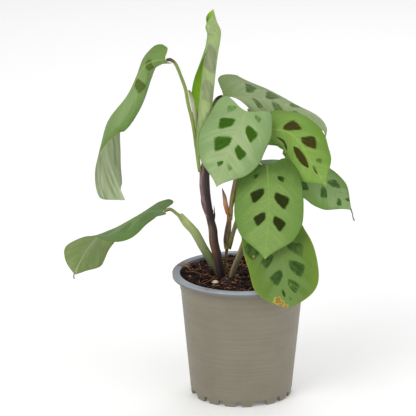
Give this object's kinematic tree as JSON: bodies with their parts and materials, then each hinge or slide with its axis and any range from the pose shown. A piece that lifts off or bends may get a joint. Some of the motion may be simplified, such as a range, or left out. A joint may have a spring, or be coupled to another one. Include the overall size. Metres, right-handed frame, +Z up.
{
  "type": "potted prayer plant",
  "caption": "Spotted-leaf prayer plant on slender dark canes, with a new leaf still rolled, growing in soil in a taupe nursery pot with a flanged rim.",
  "frame": {"origin": "on the pot's axis at the ground, where the middle of its floor rests", "axes": "+Z up along the pot's axis, -Y towards the viewer, +X to the viewer's right"},
  "size_m": [0.2497, 0.1264, 0.3461],
  "materials": {
    "pot": "satin",
    "soil": "matte",
    "perlite": "matte",
    "cane": "satin",
    "stalk": "satin",
    "bract": "matte",
    "sheath": "satin",
    "leaf": "satin"
  },
  "bodies": {
    "root": {"pot": "pot", "soil": "soil", "perlite_grain": "perlite", "crown": "cane", "cane": "cane", "side_stem": "cane", "bract": "bract", "sheath_wing": "sheath", "stalk_tall": "stalk", "stalk_low": "stalk", "stalk_rolled": "stalk", "stalk_back": "stalk", "stalk_pale": "stalk", "stalk_bright": "stalk", "stalk_side": "stalk", "stalk_middle": "stalk", "stalk_hanging": "stalk", "leaf_tall": "leaf", "leaf_low": "leaf", "leaf_rolled": "leaf", "leaf_back": "leaf", "leaf_pale": "leaf", "leaf_bright": "leaf", "leaf_side": "leaf", "leaf_middle": "leaf", "leaf_hanging": "leaf"}
  },
  "joints": []
}
